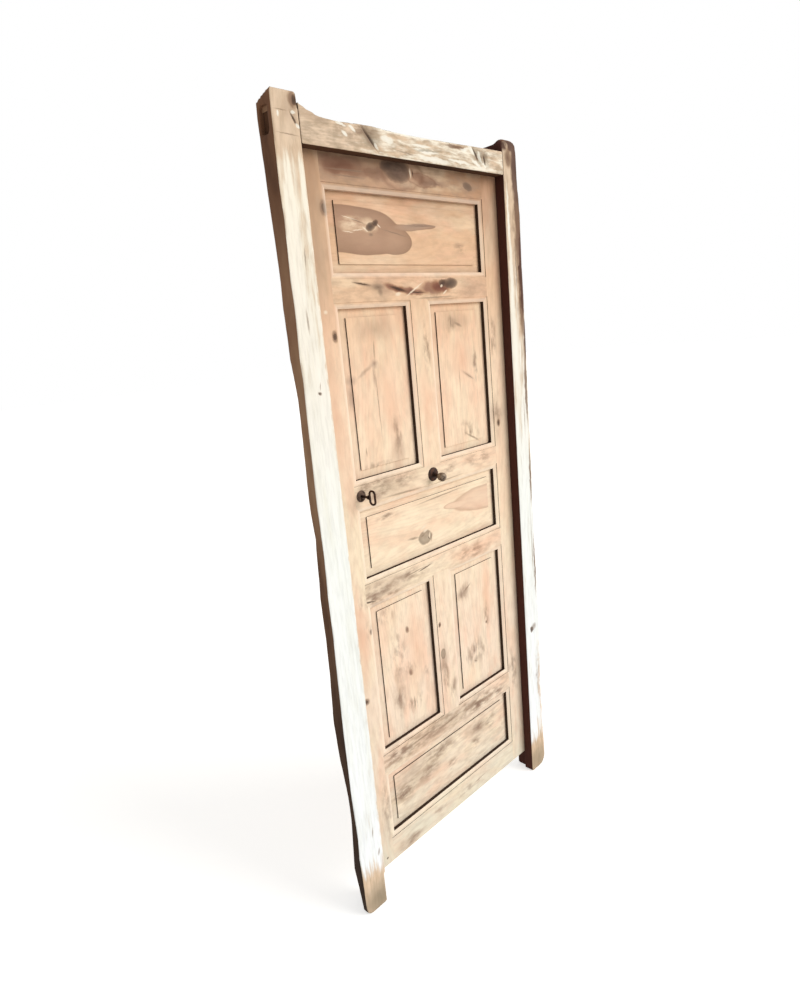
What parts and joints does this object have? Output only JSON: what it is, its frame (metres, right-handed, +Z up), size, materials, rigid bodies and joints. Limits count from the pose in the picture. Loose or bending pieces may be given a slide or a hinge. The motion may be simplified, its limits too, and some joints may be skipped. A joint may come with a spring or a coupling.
{
  "type": "door",
  "caption": "Old bare-pine door leaf with fielded panels, on butt hinges in a rough frame of posts and head, with rim lock, key and pull knob; the leaf swings and the key throws the bolt.",
  "frame": {"origin": "on the floor under the posts' feet, midway across the doorway, in the plane of the leaf's face", "axes": "+X towards the hinge side, +Y from the face side to the back, +Z up"},
  "size_m": [0.908, 0.1193, 2.122],
  "materials": {
    "leaf_pine": "bare scrubbed old pine, dry and matt",
    "frame_pine": "rough old pine with worn limewash",
    "aged_iron": "dark brown aged iron, dull",
    "aged_brass": "dull greyed brass"
  },
  "bodies": {
    "frame": {"left_post": "frame_pine", "right_post": "frame_pine", "head_rail": "frame_pine", "head_wedges": "frame_pine", "lower_hinge_frame_leaf": "aged_iron", "middle_hinge_frame_leaf": "aged_iron", "upper_hinge_frame_leaf": "aged_iron", "lower_hinge_pin": "aged_iron", "middle_hinge_pin": "aged_iron", "upper_hinge_pin": "aged_iron", "hinge_frame_screws": "aged_iron", "bolt_keeper": "aged_iron", "keeper_screws": "aged_iron"},
    "leaf": {"lock_stile": "leaf_pine", "hinge_stile": "leaf_pine", "bottom_rail": "leaf_pine", "lower_rail": "leaf_pine", "middle_rail": "leaf_pine", "lock_rail": "leaf_pine", "frieze_rail": "leaf_pine", "top_rail": "leaf_pine", "lower_muntin": "leaf_pine", "upper_muntin": "leaf_pine", "bottom_panel": "leaf_pine", "lower_left_panel": "leaf_pine", "lower_right_panel": "leaf_pine", "middle_panel": "leaf_pine", "upper_left_panel": "leaf_pine", "upper_right_panel": "leaf_pine", "top_panel": "leaf_pine", "tenon_wedges": "leaf_pine", "lower_hinge_door_leaf": "aged_iron", "middle_hinge_door_leaf": "aged_iron", "upper_hinge_door_leaf": "aged_iron", "hinge_door_screws": "aged_iron", "lock_case": "aged_iron", "lock_cover": "aged_iron", "guide_stud": "aged_iron", "bolt_spring": "aged_iron", "lock_screws": "aged_iron", "keyhole_escutcheon": "aged_iron", "escutcheon_pins": "aged_iron", "knob_rose": "aged_iron", "knob_spindle": "aged_iron", "door_knob": "aged_brass", "knob_nut": "aged_iron"},
    "bolt": {"lock_bolt": "aged_iron"},
    "key": {"key": "aged_iron"}
  },
  "joints": [
    {"name": "door_swing", "type": "hinge", "parent": "frame", "child": "leaf", "pos_m": [0.3835, 0.0466, 1], "axis": [0, 0, -1], "range_deg": [0, 105]},
    {"name": "key_turn", "type": "hinge", "parent": "leaf", "child": "key", "pos_m": [-0.281, 0, 1.192], "axis": [0, -1, 0], "range_deg": [0, 360]},
    {"name": "bolt_slide", "type": "slide", "parent": "leaf", "child": "bolt", "axis": [-1, 0, 0], "range_m": [0, 0.014]}
  ],
  "couplings": [
    {"joint": "key_turn", "follows": "bolt_slide", "rad_per_m": 448.8}
  ]
}
